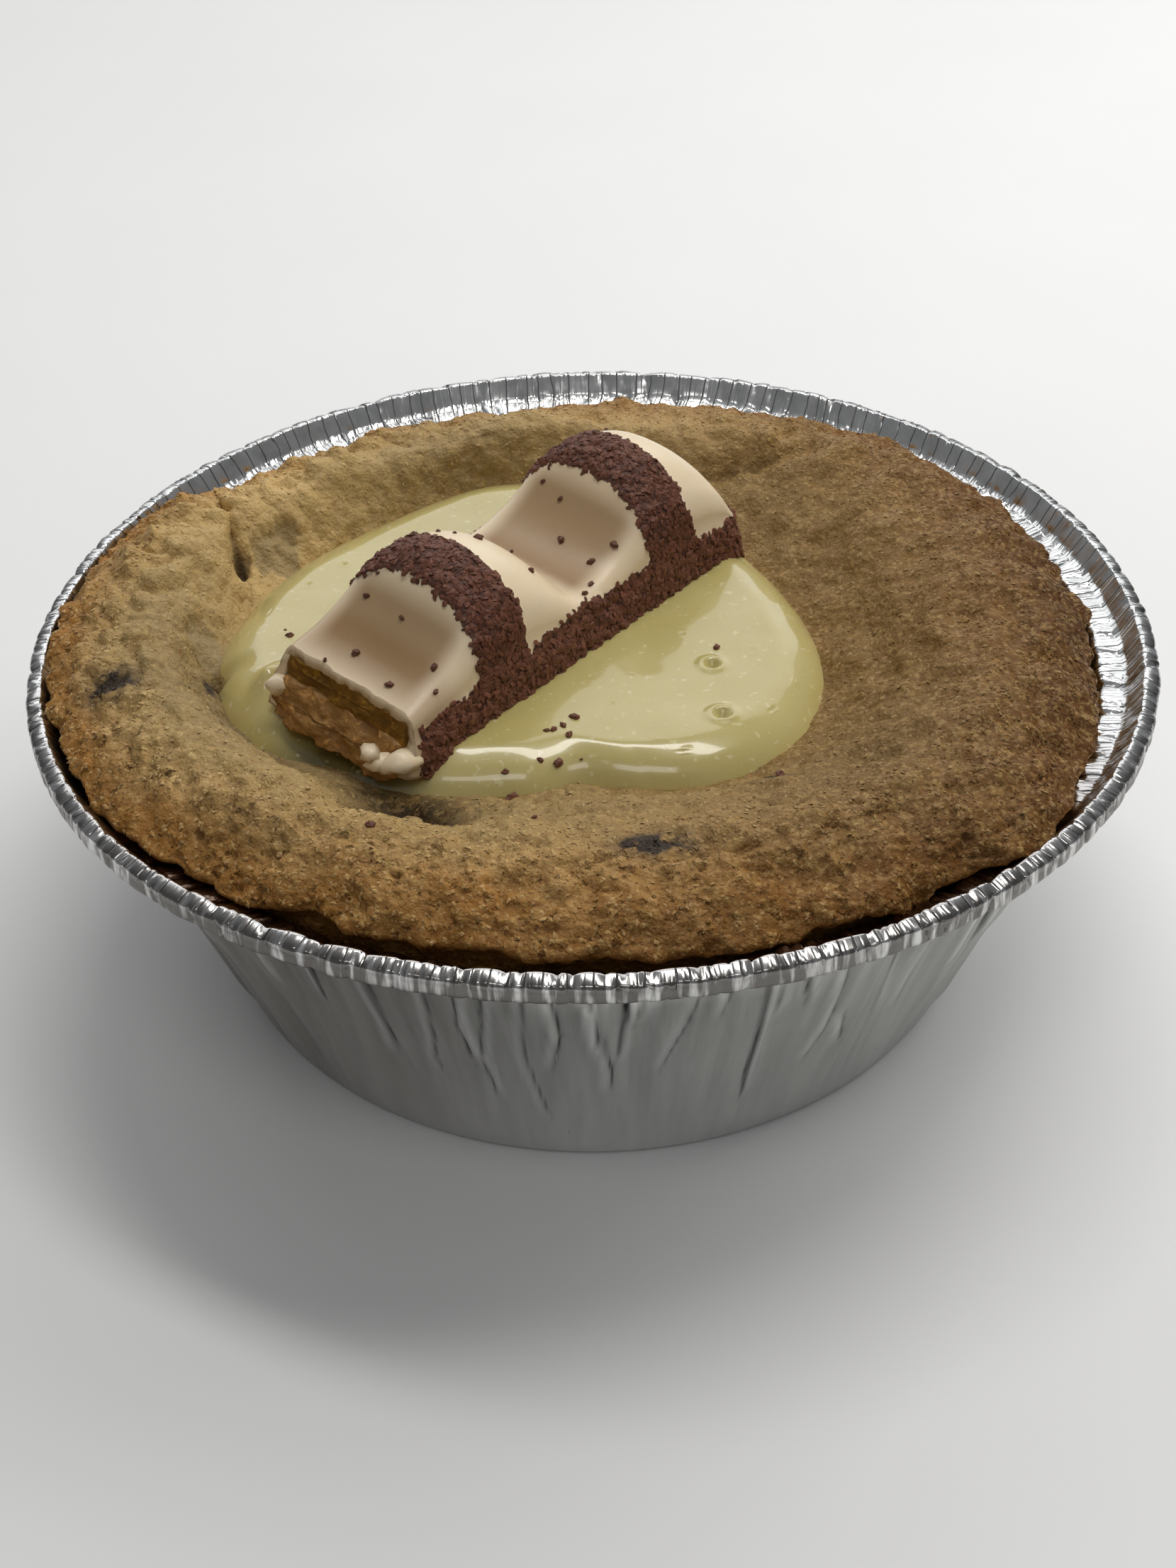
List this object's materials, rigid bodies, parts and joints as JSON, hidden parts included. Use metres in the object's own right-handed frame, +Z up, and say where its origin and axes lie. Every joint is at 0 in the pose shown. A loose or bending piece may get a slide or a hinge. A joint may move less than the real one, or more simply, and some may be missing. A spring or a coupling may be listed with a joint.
{
  "type": "white chocolate cookie pie",
  "caption": "Round cookie pie in a crimped foil tin, its dipped top holding a pool of white chocolate sauce and a piece of crumb-dusted filled wafer bar.",
  "frame": {"origin": "centre of the foil tin's flat base, on the surface that it stands on", "axes": "+Z up, out of the tin's mouth; +X to the right and +Y away from the front of the pie, where the sauce comes nearest to the rim and the bar's cut end points"},
  "size_m": [0.1219, 0.122, 0.0506],
  "materials": {
    "foil": "thin pressed foil, satin outside and brighter on the rim, with fine creases",
    "baked_dough": "baked cookie dough, dry and crumbly, golden brown and deeper at the edge",
    "white_chocolate_sauce": "glossy pale yellow sauce",
    "ivory_coating": "smooth satin white chocolate coating",
    "wafer": "dry crisp wafer",
    "hazelnut_filling": "grainy hazelnut cream",
    "cocoa_crumbs": "dry dark crumbs with a slight sheen"
  },
  "bodies": {
    "root": {"foil_tin": "foil", "cookie": "baked_dough", "sauce": "white_chocolate_sauce", "bar_coating": "ivory_coating", "bar_wafer": "wafer", "bar_filling": "hazelnut_filling"}
  },
  "joints": []
}
